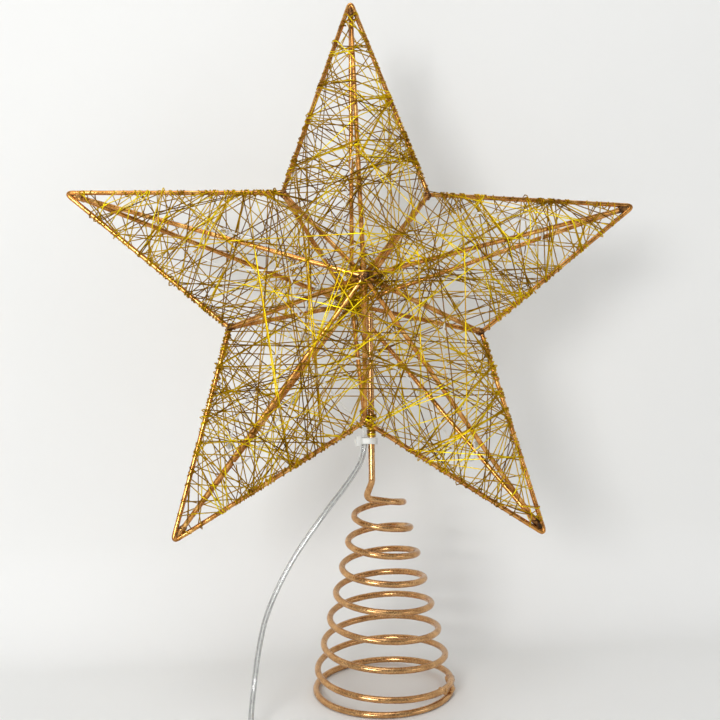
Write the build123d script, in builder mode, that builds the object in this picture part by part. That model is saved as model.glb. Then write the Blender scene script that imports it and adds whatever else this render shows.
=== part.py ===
# Lighted wire star for the top of a Christmas tree, on a cone spring, with a battery box
# Millimetres. +Z is up along the spring axis, the floor is z = 0, the star's face looks along -Y.
import os
from math import atan, atan2, ceil, cos, dist, pi, radians, sin, tan

from build123d import *

os.makedirs("parts", exist_ok=True)

# Star frame
arm_count = 5
star_radius = 116.0
corner_radius = 50.5
star_half_depth = 30.0
frame_wire = 1.8
star_offset = (-7.6, -1.4)
star_rise = 83.6
star_lean = 10.0
star_roll = 1.3
bottom_corner = 2
tip_weld_length = 4.3
tip_weld_taper = 14.0
tip_weld_rounding = 1.1
corner_weld_radius = 2.1
hub_weld_radius = 3.1
weld_gap = 0.1
# How far each tip and inner corner of the hand-bent frame lies from its true place, clockwise from the top
tip_shifts = [(-1.6, 1.0), (0.5, -0.8), (2.4, 0.5), (-1.2, -0.2), (-0.5, 1.6)]
corner_shifts = [(-1.1, -1.9), (0.4, -0.4), (2.4, 0.0), (-1.3, 1.3), (0.8, -1.9)]

# Gold winding wire
gold_wire = 0.45
gold_gap = 0.15
arm_loops = 22
arm_winding_start = 9.0
arm_winding_end = 55.0
waist_loops = 5
waist_top = -18.0
waist_pitch = 3.2
lashing_turns = 2
lashing_pitch = 0.95
lashing_bottom = -56.0
lashing_gap = 0.12

# Cone spring and its stem
spring_wire = 2.5
spring_top_radius = 9.2
spring_base_radius = 27.0
spring_top_height = 75.5
cone_turns = 6.8
coil_turns = 8.0
pitch_end_turn = 7.15
flat_start_turn = 7.45
rest_flat = 0.5
coil_start_turn = -0.22
neck_run = 8.6
neck_bend_radius = 3.4
neck_turn_radius = 2.6
stem_side = 2.55
stem_gap = 0.084
stem_bend_drop = 23.0
stem_top = -8.0
base_weld_radius = 2.0

# Clear lead, its coil and the ties
lead_wire = 2.1
tie_gap = 0.15
tie_thickness = 1.0
tie_height = 2.5
tie_top = -56.7
tie_head = (2.4, 4.2, 3.4)
tie_head_rounding = 0.4
tie_tail = (1.6, 1.1, 2.2)
lead_top = -56.5
lead_straight_end = -63.5
lead_gap = 0.2
lead_behind = 0.6
lead_floor_run = 11.5
coil_centre = Vector(-66.25, -54.0, 0)
coil_outer_radius = 14.45
coil_pitch = 2.6
coil_loops = 5
coil_lift = 0.65
coil_tie_width = 3.0
coil_tie_wall = 0.45
coil_tie_gap = 0.15
coil_tie_bend = 0.8

# Light string inside the star
led_wire = 0.9
led_straight = 2.4
led_diameter = 2.6
led_length = 4.0
led_first_run = 4
led_every = 3
led_bore_gap = 0.25

# Battery box for two small round cells
cell_diameter = 10.4
cell_length = 43.4
cell_nub_radius = 1.9
cell_nub = 0.9
cell_gap = 0.4
cell_headroom = 0.8
cell_rounding = 0.5
side_wall = 2.2
end_wall = 1.6
floor_wall = 1.6
cover_thickness = 1.6
cover_gap = 0.2
tongue = 1.0
switch_room = 9.0
rib_height = 9.0
contact_plate = 0.4
plate_short = 1.0
contact_spring_room = 3.2
box_back = -70.0
box_corner = 2.5
box_bottom_rounding = 0.8
box_top_rounding = 0.5
grommet_radius = 2.3
grommet_length = 4.0
grommet_neck_radius = 1.9
grommet_taper = 6.0
grommet_gap = 0.06
knob_size = (3.4, 4.2, 1.8)
knob_neck = (2.0, 3.4)
knob_rounding = 0.6
knob_ribs = 3
knob_rib_step = 1.2
knob_rib = (2.6, 0.5, 0.35)
switch_travel = 3.4
switch_size = (5.6, 8.6, 4.6)


# Helpers for places, paths and tubes
lean = radians(star_lean)
roll = radians(star_roll)
star_right = Vector(cos(roll), -sin(roll) * sin(lean), -sin(roll) * cos(lean))
star_front = Vector(0, -cos(lean), sin(lean))
star_centre = Vector(*star_offset, spring_top_height + star_rise)
star_plane = Plane(origin=star_centre, x_dir=star_right, z_dir=star_front)


def star_point(across, up, forward=0.0):
    """A place given across, up and forward of the star's centre."""
    return star_plane.from_local_coords(Vector(across, up, forward))


def save(piece, name):
    piece.part.label = name
    export_step(piece.part, f"parts/{name}.step")


def add_arc(start, corner, end):
    """One arc that is tangent to start-corner and corner-end, which are equally long."""
    middle = (start + end) * 0.5
    rise = (corner - middle).length
    half_turn = atan2(rise, (end - start).length / 2)
    if half_turn < 1e-4:
        Line(start, end)
    else:
        ThreePointArc(start, middle + (corner - middle) * (tan(half_turn / 2) / tan(half_turn)), end)


def add_biarc(start, start_way, end, end_way):
    """Two arcs from start to end that keep both directions."""
    span = end - start
    ways = start_way + end_way
    square = ways.dot(ways) - 4
    slope = span.dot(ways)
    if abs(square) < 1e-9:
        reach = span.dot(span) / (2 * slope)
    else:
        reach = (slope - (slope * slope - square * span.dot(span)) ** 0.5) / square
    first = start + start_way * reach
    second = end - end_way * reach
    join = (first + second) * 0.5
    add_arc(start, first, join)
    add_arc(join, second, end)


def add_turns(place, turns):
    """Biarcs through place(turn) at each listed turn."""
    step = 1e-4
    ways = [(place(turn + step) - place(turn - step)).normalized() for turn in turns]
    for here in range(len(turns) - 1):
        add_biarc(place(turns[here]), ways[here], place(turns[here + 1]), ways[here + 1])


def quarter_turns(first, last):
    """Turn counts at every quarter from first to last, with both ends."""
    low = int(first * 4 // 1) + 1
    inner = [quarter / 4 for quarter in range(low, ceil(last * 4))]
    return [first] + [turn for turn in inner if first + 0.05 < turn < last - 0.05] + [last]


def report_gap(name, path, start, diameter, skip):
    """Print the least gap of a wound tube to itself, measured on points along its path."""
    spots = []
    travelled = 0.0
    here = start
    for edge in path.wire().order_edges():
        forward = (edge @ 0 - here).length < (edge @ 1 - here).length
        count = max(2, ceil(edge.length / (diameter * 0.8)))
        for number in range(count):
            spot = edge @ (number / count if forward else 1 - number / count)
            spots.append((travelled + edge.length * number / count, (spot.X, spot.Y, spot.Z)))
        travelled += edge.length
        here = edge @ (1 if forward else 0)
    cell = 4 * diameter
    grid = {}
    for along, spot in spots:
        key = tuple(int(value // cell) for value in spot)
        grid.setdefault(key, []).append((along, spot))
    least = cell
    near = [(i, j, k) for i in (-1, 0, 1) for j in (-1, 0, 1) for k in (-1, 0, 1)]
    for key, members in grid.items():
        for shift in near:
            others = grid.get((key[0] + shift[0], key[1] + shift[1], key[2] + shift[2]), [])
            for along, spot in members:
                for other_along, other in others:
                    if other_along - along > skip:
                        least = min(least, dist(spot, other))
    print(f"{name}: length {travelled:.0f} mm, least gap to itself {least - diameter:.2f} mm")


def route_radii(name, points):
    """The largest bend radius that each corner of a route has room for, printed."""
    radii = []
    for before, here, after in zip(points, points[1:], points[2:]):
        shorter = min((here - before).length, (after - here).length)
        turn = radians((here - before).get_angle(after - here))
        radii.append(0.45 * shorter / tan(turn / 2))
    print(f"{name}: bend radii", ", ".join(f"{radius:.1f}" for radius in radii))
    return radii


def report_tube(name, piece, edges, diameter):
    """Print a tube's volume beside its section times its length."""
    length = sum(edge.length for edge in edges)
    ratio = piece.part.volume / (length * pi * diameter**2 / 4)
    print(f"{name}: length {length:.0f} mm, volume over section times length {ratio:.4f}")


# Corners of the star in its own plane
def star_polar(angle, radius):
    return Vector(radius * cos(radians(angle)), radius * sin(radians(angle)), 0)


arm_step = 360 / arm_count
tip_angles = [90 - arm_step * arm for arm in range(arm_count)]
tips_flat = [star_polar(angle, star_radius) + Vector(*shift) for angle, shift in zip(tip_angles, tip_shifts)]
corners_flat = [
    star_polar(angle - arm_step / 2, corner_radius) + Vector(*shift)
    for angle, shift in zip(tip_angles, corner_shifts)
]
tips = [star_point(flat.X, flat.Y) for flat in tips_flat]
corners = [star_point(flat.X, flat.Y) for flat in corners_flat]
front_hub = star_point(0, 0, star_half_depth)
back_hub = star_point(0, 0, -star_half_depth)
arm_axes = [(tip - star_centre).normalized() for tip in tips]
hub_cut = hub_weld_radius + weld_gap
corner_cut = corner_weld_radius + weld_gap


def tip_cut(arm, start):
    """How far short of the tip a wire from start ends, so that it stops at the tip weld's flat."""
    slant = radians((tips[arm] - start).get_angle(arm_axes[arm]))
    return (tip_weld_length + weld_gap + frame_wire / 2 * sin(slant)) / cos(slant)


def frame_rod(start, end, start_cut, end_cut):
    """The plane and the length of a straight wire that stops short of both its ends."""
    way = (end - start).normalized()
    return Plane(origin=start + way * start_cut, z_dir=way), (end - start).length - start_cut - end_cut


# Outline wires, two to each arm, from the tip weld to the corner welds beside it
for arm in range(arm_count):
    for side in (0, 1):
        corner = corners[(arm - side) % arm_count]
        plane, length = frame_rod(corner, tips[arm], corner_cut, tip_cut(arm, corner))
        with BuildPart() as outline_wire:
            with BuildSketch(plane):
                Circle(frame_wire / 2)
            extrude(amount=length)
        save(outline_wire, f"outline_wire_{arm * 2 + side + 1}")

# Ridge wires, from the front and back hub welds out to each tip weld
for arm in range(arm_count):
    for side, hub in (("front", front_hub), ("back", back_hub)):
        plane, length = frame_rod(hub, tips[arm], hub_cut, tip_cut(arm, hub))
        with BuildPart() as ridge_wire:
            with BuildSketch(plane):
                Circle(frame_wire / 2)
            extrude(amount=length)
        save(ridge_wire, f"{side}_ridge_wire_{arm + 1}")

# Valley wires, from the hub welds out to each inner corner weld
for number in range(arm_count):
    for side, hub in (("front", front_hub), ("back", back_hub)):
        plane, length = frame_rod(hub, corners[number], hub_cut, corner_cut)
        with BuildPart() as valley_wire:
            with BuildSketch(plane):
                Circle(frame_wire / 2)
            extrude(amount=length)
        save(valley_wire, f"{side}_valley_wire_{number + 1}")

# Tip welds: a rounded nose on each arm that closes over the ends of its four wires
tip_spread = (corners_flat[0] - tips_flat[0]).get_angle(star_polar(tip_angles[0], -1))
tip_weld_radius = tip_weld_length * tan(radians(tip_spread)) + frame_wire / 2
with BuildPart() as tip_welds:
    for arm in range(arm_count):
        with BuildSketch(Plane(origin=tips[arm] - arm_axes[arm] * tip_weld_length, z_dir=arm_axes[arm])):
            Circle(tip_weld_radius)
        extrude(amount=tip_weld_length, taper=tip_weld_taper)
        nose_edge = tip_welds.edges(Select.LAST).sort_by(Axis(star_centre, arm_axes[arm]))[-1]
        fillet(nose_edge, tip_weld_rounding)
save(tip_welds, "tip_welds")

# Corner welds: a bead at each inner corner
with BuildPart() as corner_welds:
    with Locations(*corners):
        Sphere(corner_weld_radius)
save(corner_welds, "corner_welds")

# Hub welds: the front and back beads where ridges and valleys meet
with BuildPart() as hub_welds:
    with Locations(front_hub, back_hub):
        Sphere(hub_weld_radius)
save(hub_welds, "hub_welds")

# Arm windings: gold wire wound round the four wires of each arm, from near its tip to its root
wrap_radius = frame_wire / 2 + gold_gap + gold_wire / 2


def on_arm_wire(arm, end, along):
    """The place on the wire from an arm's tip to end, along millimetres in from the tip."""
    wire = end - tips[arm]
    return tips[arm] + wire * (along / -wire.dot(arm_axes[arm]))


arm_rise = star_half_depth / star_radius
edge_half_angle = atan(arm_rise / tan(radians(tip_spread)))
ridge_stand_off = wrap_radius / cos(edge_half_angle)


def edge_stand_off(arm, corner):
    """How far the winding's corner stands outside an outline wire of this arm."""
    slant = radians((tips[arm] - corners[corner]).get_angle(arm_axes[arm]))
    return wrap_radius / sin(atan(arm_rise / tan(slant)))


for arm in range(arm_count):
    across = star_front.cross(arm_axes[arm])
    wraps = [
        (corners[arm - 1], across * edge_stand_off(arm, arm - 1)),
        (front_hub, star_front * ridge_stand_off),
        (corners[arm], across * -edge_stand_off(arm, arm)),
        (back_hub, star_front * -ridge_stand_off),
    ]
    steps = arm_loops * len(wraps)
    winding_points = []
    for step in range(steps + 1):
        end, stand_off = wraps[step % len(wraps)]
        along = arm_winding_start + (arm_winding_end - arm_winding_start) * step / steps
        winding_points.append(on_arm_wire(arm, end, along) + stand_off)
    with BuildPart() as arm_winding:
        with BuildLine() as winding_path:
            FilletPolyline(*winding_points, radius=wrap_radius)
        with BuildSketch(Plane(origin=winding_points[0], z_dir=winding_points[1] - winding_points[0])):
            Circle(gold_wire / 2)
        sweep()
    report_gap(f"arm winding {arm + 1}", winding_path, winding_points[0], gold_wire, 8 * gold_wire)
    save(arm_winding, f"arm_winding_{arm + 1}")

# Waist winding: gold wire carried straight across both lower arms, in front and behind
right_arm = 2
left_arm = 3


def waist_corner(wire_start, wire_end, up):
    """The place on a wire of the star's frame that lies up millimetres from its centre line."""
    share = (up - wire_start.Y) / (wire_end.Y - wire_start.Y)
    return wire_start + (wire_end - wire_start) * share


front_flat = Vector(0, 0, star_half_depth)
back_flat = Vector(0, 0, -star_half_depth)
belt = [
    (corners_flat[left_arm], tips_flat[left_arm], Vector(-edge_stand_off(left_arm, left_arm), 0, 0)),
    (front_flat, tips_flat[left_arm], Vector(0, 0, ridge_stand_off)),
    (front_flat, tips_flat[right_arm], Vector(0, 0, ridge_stand_off)),
    (
        corners_flat[right_arm - 1],
        tips_flat[right_arm],
        Vector(edge_stand_off(right_arm, right_arm - 1), 0, 0),
    ),
    (back_flat, tips_flat[right_arm], Vector(0, 0, -ridge_stand_off)),
    (back_flat, tips_flat[left_arm], Vector(0, 0, -ridge_stand_off)),
]
belt_points = []
for step in range(waist_loops * len(belt) + 1):
    wire_start, wire_end, stand_off = belt[step % len(belt)]
    spot = waist_corner(wire_start, wire_end, waist_top - waist_pitch * step / len(belt)) + stand_off
    belt_points.append(star_point(spot.X, spot.Y, spot.Z))
with BuildPart() as waist_winding:
    with BuildLine() as waist_path:
        FilletPolyline(*belt_points, radius=wrap_radius)
    with BuildSketch(Plane(origin=belt_points[0], z_dir=belt_points[1] - belt_points[0])):
        Circle(gold_wire / 2)
    sweep()
report_gap("waist winding", waist_path, belt_points[0], gold_wire, 8 * gold_wire)
save(waist_winding, "waist_winding")

# Cone spring: one wire from the stem inside the star, through the neck, to the closed bottom turn
stem_across = corners_flat[bottom_corner].X + stem_side
stem_reach = corner_weld_radius + spring_wire / 2 + stem_gap
stem_behind = (stem_reach**2 - stem_side**2) ** 0.5
stem_bend = star_point(stem_across, corners_flat[bottom_corner].Y - stem_bend_drop, -stem_behind)
rest_height = spring_wire / 2 - rest_flat
coil_drop = (spring_top_height - rest_height) / ((pitch_end_turn + flat_start_turn) / 2)
radius_growth = (spring_base_radius - spring_top_radius) / cone_turns


def spring_place(turn):
    """The middle of the spring wire after some turns, counted from its right side."""
    radius = spring_top_radius + radius_growth * min(turn, cone_turns)
    height = spring_top_height - coil_drop * turn
    if turn > flat_start_turn:
        height = rest_height
    elif turn > pitch_end_turn:
        ease = (flat_start_turn - turn) ** 2 / (2 * (flat_start_turn - pitch_end_turn))
        height = rest_height + coil_drop * ease
    angle = 2 * pi * turn
    return Vector(radius * cos(angle), radius * sin(angle), height)


coil_start = spring_place(coil_start_turn)
coil_way = (spring_place(coil_start_turn + 1e-4) - coil_start).normalized()
neck_turn = coil_start - coil_way * neck_run
stem_end = star_point(stem_across, stem_top, -stem_behind)
with BuildPart() as cone_spring:
    with BuildLine() as spring_path:
        neck_radii = [neck_bend_radius, neck_turn_radius]
        FilletPolyline(stem_end, stem_bend, neck_turn, coil_start, radius=neck_radii)
        add_turns(spring_place, quarter_turns(coil_start_turn, coil_turns))
    with BuildSketch(Plane(origin=stem_end, z_dir=stem_bend - stem_end)):
        Circle(spring_wire / 2)
    sweep()
    split(bisect_by=Plane.XY, keep=Keep.TOP)
report_gap("cone spring", spring_path, stem_end, spring_wire, 6 * spring_wire)
save(cone_spring, "cone_spring")

# Base weld: the bead that closes the bottom turn against the turn above its end
wire_end = spring_place(coil_turns)
wire_above = spring_place(coil_turns - 1)
with BuildPart() as base_weld:
    with Locations((wire_end + wire_above) * 0.5):
        Sphere(base_weld_radius)
save(base_weld, "base_weld")

# Stem lashing: gold wire bound round the stem between the bottom corner and the cable tie
lashing_radius = spring_wire / 2 + lashing_gap + gold_wire / 2


def lashing_place(turn):
    angle = 2 * pi * turn
    return star_point(
        stem_across + lashing_radius * cos(angle),
        lashing_bottom + lashing_pitch * turn,
        -stem_behind + lashing_radius * sin(angle),
    )


with BuildPart() as stem_lashing:
    with BuildLine() as lashing_path:
        add_turns(lashing_place, quarter_turns(0, lashing_turns))
    lashing_way = (lashing_place(1e-4) - lashing_place(-1e-4)).normalized()
    with BuildSketch(Plane(origin=lashing_place(0), z_dir=lashing_way)):
        Circle(gold_wire / 2)
    sweep()
report_gap("stem lashing", lashing_path, lashing_place(0), gold_wire, pi * lashing_radius)
save(stem_lashing, "stem_lashing")

# Cable tie: a nylon strap round the stem and the lead, with its locking head on the left
lead_side = (spring_wire + lead_wire) / 2 + lead_gap
lead_across = stem_across - lead_side
lead_forward = -stem_behind - lead_behind
tie_middle = Vector((stem_across + lead_across) / 2, (lead_forward - stem_behind) / 2)
stem_bore = spring_wire / 2 + tie_gap
lead_bore = lead_wire / 2 + tie_gap
# Sketch axes on this plane: across the star, and forwards
tie_plane = Plane(
    origin=star_point(tie_middle.X, tie_top, tie_middle.Y),
    x_dir=star_right,
    z_dir=star_plane.y_dir * -1,
)
stem_in_tie = (lead_side / 2, lead_behind / 2)
lead_in_tie = (-lead_side / 2, -lead_behind / 2)
with BuildPart() as cable_tie:
    with BuildSketch(tie_plane):
        with Locations(stem_in_tie):
            Circle(stem_bore + tie_thickness)
        with Locations(lead_in_tie):
            Circle(lead_bore + tie_thickness)
        make_hull()
    extrude(amount=tie_height)
    head_across = -lead_side / 2 - lead_bore - tie_gap - tie_head[0] / 2
    with BuildSketch(tie_plane.offset((tie_height - tie_head[1]) / 2)):
        with Locations((head_across, -lead_behind / 2)):
            RectangleRounded(tie_head[0], tie_head[2], tie_head_rounding)
    extrude(amount=tie_head[1])
    with BuildSketch(tie_plane.offset((tie_height - tie_tail[2]) / 2)):
        with Locations((head_across - tie_head[0] / 2 - tie_tail[0] / 2, -lead_behind / 2)):
            Rectangle(tie_tail[0] + 2 * tie_gap, tie_tail[1])
    extrude(amount=tie_tail[2])
    with BuildSketch(tie_plane):
        with Locations(stem_in_tie):
            Circle(stem_bore)
        with Locations(lead_in_tie):
            Circle(lead_bore)
        make_hull()
    extrude(amount=tie_height, mode=Mode.SUBTRACT)
save(cable_tie, "cable_tie")

# Lead: clear twin flex from the tie down to the floor, then forward to its coil
coil_low = coil_lift + lead_wire / 2


def coil_place(turn):
    """The middle of the coiled lead: in on the lower layer, out again on the upper one."""
    half = coil_loops / 2
    radius = coil_outer_radius - coil_pitch * (half - abs(turn - half))
    climb = min(max(turn - half + 0.25, 0), 0.5) / 0.5
    height = coil_low + coil_pitch * climb * climb * (3 - 2 * climb)
    return coil_centre + Vector(radius * cos(2 * pi * turn), -radius * sin(2 * pi * turn), height)


coil_in = coil_place(0)
coil_in_way = (coil_place(1e-4) - coil_in).normalized()
coil_out = coil_place(coil_loops)
coil_out_way = (coil_out - coil_place(coil_loops - 1e-4)).normalized()
coil_entry = coil_in - coil_in_way * lead_wire
coil_exit = coil_out + coil_out_way * lead_wire
lead_points = [
    star_point(lead_across, lead_top, lead_forward),
    star_point(lead_across, lead_straight_end, lead_forward),
    Vector(-12.9, -12.9, 87.0),
    Vector(-23.5, -16.0, 75.0),
    Vector(-36.5, -17.5, 57.5),
    Vector(-45.5, -19.5, 40.0),
    Vector(-49.0, -21.0, 26.0),
    Vector(-51.0, -23.0, 12.5),
    Vector(-52.2, -29.5, 3.6),
    coil_entry - coil_in_way * lead_floor_run,
    coil_entry,
]
with BuildPart() as lead_cord:
    with BuildLine() as lead_path:
        FilletPolyline(*lead_points, radius=route_radii("lead", lead_points))
    with BuildSketch(Plane(origin=lead_points[0], z_dir=lead_points[1] - lead_points[0])):
        Circle(lead_wire / 2)
    sweep()
report_tube("lead", lead_cord, lead_path.edges(), lead_wire)
save(lead_cord, "lead_cord")

# Lead coil: the spare length in five loops on two layers
with BuildPart() as lead_coil:
    with BuildLine() as coil_path:
        Line(coil_entry, coil_in)
        add_turns(coil_place, quarter_turns(0, coil_loops))
        Line(coil_out, coil_exit)
    with BuildSketch(Plane(origin=coil_entry, z_dir=coil_in_way)):
        Circle(lead_wire / 2)
    sweep()
report_gap("lead coil", coil_path, coil_entry, lead_wire, 6 * lead_wire)
save(lead_coil, "lead_coil")

# Coil tie: a flat strip closed round all the loops on the coil's left side
coil_tie_inner = coil_place(coil_loops / 2).X - coil_centre.X
coil_tie_middle = (coil_tie_inner - coil_outer_radius + coil_pitch / 2) / 2
coil_stack = coil_outer_radius - coil_pitch / 2 + coil_tie_inner + lead_wire
coil_height = lead_wire + coil_pitch
coil_tie_plane = Plane(
    origin=coil_centre + Vector(coil_tie_middle, coil_tie_width / 2, coil_lift + coil_height / 2),
    x_dir=(1, 0, 0),
    z_dir=(0, -1, 0),
)
coil_tie_hole = (coil_stack + 2 * coil_tie_gap, coil_height + 2 * coil_tie_gap)
with BuildPart() as coil_tie:
    with BuildSketch(coil_tie_plane):
        RectangleRounded(
            coil_tie_hole[0] + 2 * coil_tie_wall,
            coil_tie_hole[1] + 2 * coil_tie_wall,
            coil_tie_bend + coil_tie_wall,
        )
        RectangleRounded(coil_tie_hole[0], coil_tie_hole[1], coil_tie_bend, mode=Mode.SUBTRACT)
    extrude(amount=coil_tie_width)
save(coil_tie, "coil_tie")

# Lead tail: from the coil into the battery box
tail_end = Vector(coil_exit.X, box_back - side_wall + cover_gap, coil_exit.Z)
with BuildPart() as lead_tail:
    with BuildSketch(Plane(origin=coil_exit, z_dir=(0, -1, 0))):
        Circle(lead_wire / 2)
    extrude(amount=coil_exit.Y - tail_end.Y)
save(lead_tail, "lead_tail")

# Light string: thin wire that runs from the lead through all five arms, inside the windings
led_route = [
    (lead_across, lead_top, lead_forward),
    (lead_across, lead_top + led_straight, lead_forward),
    (-2.5, -48.5, -2.5),
    (-10, -40, 2),
    (-18.5, -29, 5),
    (-23.5, -8, 5),
    (-27, 12, 5),
    (-41, 21, 4),
    (-62, 24, 2),
    (-69, 18, 0),
    (-58, 11, 1),
    (-38, 6, 6),
    (-19, 8, 13),
    (8, 20, 10),
    (33, 29, 4.5),
    (50, 31.5, 3),
    (69, 29, 1.5),
    (76, 21.5, 0),
    (65, 14, -1),
    (47, 3, -2),
    (32, -12, -2),
    (35, -34, -1),
    (45, -54, 0),
    (46, -66, 0.5),
    (38, -66, 1),
    (31, -50, 3),
    (17, -31, 6),
    (0, -25, 6),
    (-16, -33, 2),
    (-32, -50, 0),
    (-42, -66, -0.5),
    (-50.5, -66, -1.5),
    (-48, -50, -4),
    (-36, -31, -7),
    (-22, -9, -9),
    (-8, 15, -9),
    (-3, 41, -5),
    (0, 66, 0),
]
led_points = [star_point(*spot) for spot in led_route]
with BuildPart() as light_string:
    with BuildLine() as led_path:
        FilletPolyline(*led_points, radius=route_radii("light string", led_points))
    with BuildSketch(Plane(origin=led_points[0], z_dir=led_points[1] - led_points[0])):
        Circle(led_wire / 2)
    sweep()
report_gap("light string", led_path, led_points[0], led_wire, 8 * led_wire)
save(light_string, "light_string")

# Light drops: a clear bead threaded on the middle of every third run of the string
led_runs = range(led_first_run, len(led_points) - 1, led_every)
with BuildPart() as light_drops:
    for run in led_runs:
        way = (led_points[run + 1] - led_points[run]).normalized()
        middle = (led_points[run] + led_points[run + 1]) * 0.5
        with BuildSketch(Plane(origin=middle - way * (led_length / 2), z_dir=way)):
            Circle(led_diameter / 2)
            Circle(led_wire / 2 + led_bore_gap, mode=Mode.SUBTRACT)
        extrude(amount=led_length)
save(light_drops, "light_drops")

# Battery box case: an open tray with grooves for the sliding cover and a roof over the switch
box_inner_width = 2 * cell_diameter + 3 * cell_gap
box_width = box_inner_width + 2 * side_wall
cover_underside = floor_wall + cell_diameter + cell_headroom
box_height = cover_underside + cover_thickness
cell_room = cell_length + cell_nub + contact_spring_room + 2 * contact_plate
box_length = 3 * end_wall + switch_room + cell_room
box_left = coil_exit.X - end_wall - switch_room / 2
box_right = box_left + box_length
box_middle_y = box_back - box_width / 2
room_left = box_left + 2 * end_wall + switch_room
room_right = box_right - end_wall
switch_x = box_left + end_wall + switch_room / 2
groove_height = cover_thickness / 2
cover_left = room_left + cover_gap
tongue_width = box_inner_width + 2 * tongue
with BuildPart() as box_case:
    with BuildSketch():
        with Locations(((box_left + box_right) / 2, box_middle_y)):
            RectangleRounded(box_length, box_width, box_corner)
    extrude(amount=box_height)
    fillet(box_case.faces().sort_by(Axis.Z)[0].edges(), box_bottom_rounding)
    fillet(box_case.faces().sort_by(Axis.Z)[-1].edges(), box_top_rounding)
    with BuildSketch(Plane.XY.offset(floor_wall)):
        with Locations((switch_x, box_middle_y)):
            Rectangle(switch_room, box_inner_width)
    extrude(amount=cover_underside - floor_wall, mode=Mode.SUBTRACT)
    with BuildSketch(Plane.XY.offset(floor_wall)):
        with Locations(((room_left + room_right) / 2, box_middle_y)):
            Rectangle(room_right - room_left, box_inner_width)
    extrude(amount=box_height - floor_wall, mode=Mode.SUBTRACT)
    with BuildSketch(Plane.XY.offset(floor_wall + rib_height)):
        with Locations((room_left - end_wall / 2, box_middle_y)):
            Rectangle(2 * end_wall, box_inner_width)
    extrude(amount=cover_underside - floor_wall - rib_height, mode=Mode.SUBTRACT)
    with BuildSketch(Plane.XY.offset(cover_underside - cover_gap)):
        with Locations(((room_left + box_right) / 2, box_middle_y)):
            Rectangle(box_right - room_left, tongue_width + 2 * cover_gap)
    extrude(amount=groove_height + 2 * cover_gap, mode=Mode.SUBTRACT)
    with BuildSketch(Plane.XY.offset(cover_underside)):
        with Locations(((room_left + box_right) / 2, box_middle_y)):
            Rectangle(box_right - room_left, box_inner_width)
    extrude(amount=cover_thickness, mode=Mode.SUBTRACT)
    with BuildSketch(Plane.XY.offset(cover_underside)):
        with Locations((switch_x, box_middle_y)):
            Rectangle(knob_neck[0] + 2 * cover_gap, knob_neck[1] + switch_travel + 2 * cover_gap)
    extrude(amount=cover_thickness, mode=Mode.SUBTRACT)
    with BuildSketch(Plane(origin=(coil_exit.X, box_back, coil_exit.Z), z_dir=(0, -1, 0))):
        Circle(grommet_neck_radius + grommet_gap)
    extrude(amount=side_wall, mode=Mode.SUBTRACT)
save(box_case, "box_case")

# Battery cover: slides off to the right on two tongues, with thumb ridges on top
cover_plate_width = box_inner_width - 2 * cover_gap
ridge_count = 4
ridge_step = 2.2
ridge_inset = 8.0
ridge_size = (0.9, 11.0, 0.5)
with BuildPart() as box_cover:
    with BuildSketch(Plane.XY.offset(cover_underside)):
        with Locations(((cover_left + box_right) / 2, box_middle_y)):
            Rectangle(box_right - cover_left, tongue_width)
    extrude(amount=groove_height)
    with BuildSketch(Plane.XY.offset(cover_underside + groove_height)):
        with Locations(((cover_left + box_right) / 2, box_middle_y)):
            Rectangle(box_right - cover_left, cover_plate_width)
    extrude(amount=cover_thickness - groove_height)
    with BuildSketch(Plane.XY.offset(box_height)):
        with Locations((box_right - ridge_inset, box_middle_y)):
            with GridLocations(ridge_step, 0, ridge_count, 1):
                Rectangle(ridge_size[0], ridge_size[1])
    extrude(amount=ridge_size[2])
save(box_cover, "box_cover")

# Switch knob: slides in its slot in the roof, off at the back and on at the front
knob_y = box_middle_y + switch_travel / 2
with BuildPart() as switch_knob:
    with BuildSketch(Plane.XY.offset(box_height + cover_gap)):
        with Locations((switch_x, knob_y)):
            RectangleRounded(knob_size[0], knob_size[1], knob_rounding)
    extrude(amount=knob_size[2])
    with BuildSketch(Plane.XY.offset(cover_underside + cover_gap)):
        with Locations((switch_x, knob_y)):
            Rectangle(knob_neck[0], knob_neck[1])
    extrude(amount=cover_thickness)
    with BuildSketch(Plane.XY.offset(box_height + cover_gap + knob_size[2])):
        with Locations((switch_x, knob_y)):
            with GridLocations(0, knob_rib_step, 1, knob_ribs):
                Rectangle(knob_rib[0], knob_rib[1])
    extrude(amount=knob_rib[2])
save(switch_knob, "switch_knob")

# Switch body: hangs under the roof, below the knob
with BuildPart() as switch_body:
    with BuildSketch(Plane.XY.offset(cover_underside - weld_gap)):
        with Locations((switch_x, box_middle_y)):
            Rectangle(switch_size[0], switch_size[1])
    extrude(amount=-switch_size[2])
save(switch_body, "switch_body")

# Grommet: holds the lead in the back wall of the box
with BuildPart() as lead_grommet:
    with BuildSketch(Plane(origin=(coil_exit.X, box_back, coil_exit.Z), z_dir=(0, 1, 0))):
        Circle(grommet_radius)
    extrude(amount=grommet_length, taper=grommet_taper)
    with BuildSketch(Plane(origin=(coil_exit.X, box_back, coil_exit.Z), z_dir=(0, -1, 0))):
        Circle(grommet_neck_radius)
    extrude(amount=side_wall)
    grommet_mouth = Vector(coil_exit.X, box_back + grommet_length, coil_exit.Z)
    with BuildSketch(Plane(origin=grommet_mouth, z_dir=(0, -1, 0))):
        Circle(lead_wire / 2 + grommet_gap)
    extrude(amount=grommet_length + side_wall, mode=Mode.SUBTRACT)
save(lead_grommet, "lead_grommet")

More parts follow.
